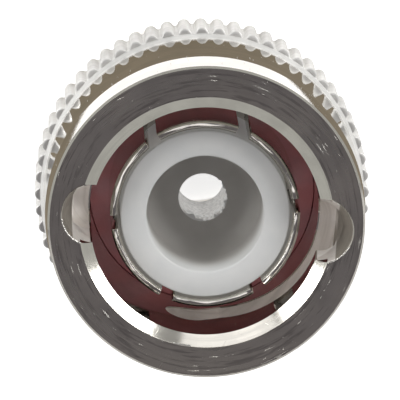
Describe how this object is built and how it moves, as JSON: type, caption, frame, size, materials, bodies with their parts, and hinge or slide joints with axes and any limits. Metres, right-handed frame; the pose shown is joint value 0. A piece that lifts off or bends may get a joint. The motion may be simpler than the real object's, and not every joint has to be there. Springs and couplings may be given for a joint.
{
  "type": "bnc connector",
  "caption": "Bayonet coaxial cable plug: knurled coupling nut with blind inner cam grooves, slit spring contact round a white insulator, and a clamp nut for the cable.",
  "frame": {"origin": "on the plug's axis, at the foot of the clamp nut, which the plug stands on", "axes": "+Z along the plug's axis, from the cable end to the mating face; +X points close to the first entry notch of the coupling nut"},
  "size_m": [0.0144, 0.0144, 0.022],
  "materials": {
    "nickel_nut": "nickel plate, bright on the outside, finely turned on the front face",
    "nickel_body": "bright nickel plate",
    "red_silicone": "dark red silicone, satin",
    "white_ptfe": "white fluoropolymer, waxy, turned",
    "spring_metal": "spring steel",
    "washer_metal": "plain brass",
    "clamp_metal": "turned brass",
    "black_rubber": "black rubber, satin"
  },
  "bodies": {
    "plug": {"plug_body": "nickel_body", "front_gasket": "red_silicone", "front_insulator": "white_ptfe", "retaining_ring": "spring_metal", "wave_washer": "spring_metal", "braid_clamp": "clamp_metal", "cable_gasket": "black_rubber", "slip_washer": "washer_metal", "clamp_nut": "nickel_body"},
    "slider": {"thrust_washer": "washer_metal"},
    "coupling": {"coupling_nut": "nickel_nut"}
  },
  "joints": [
    {"name": "nut_slide", "type": "slide", "parent": "plug", "child": "slider", "axis": [0, 0, 1], "range_m": [0, 0.0005], "stiffness_N_per_m": 5000, "deforming": ["wave_washer"]},
    {"name": "nut_turn", "type": "hinge", "parent": "slider", "child": "coupling", "pos_m": [0, 0, 0.016], "axis": [0, 0, 1], "continuous": true}
  ]
}
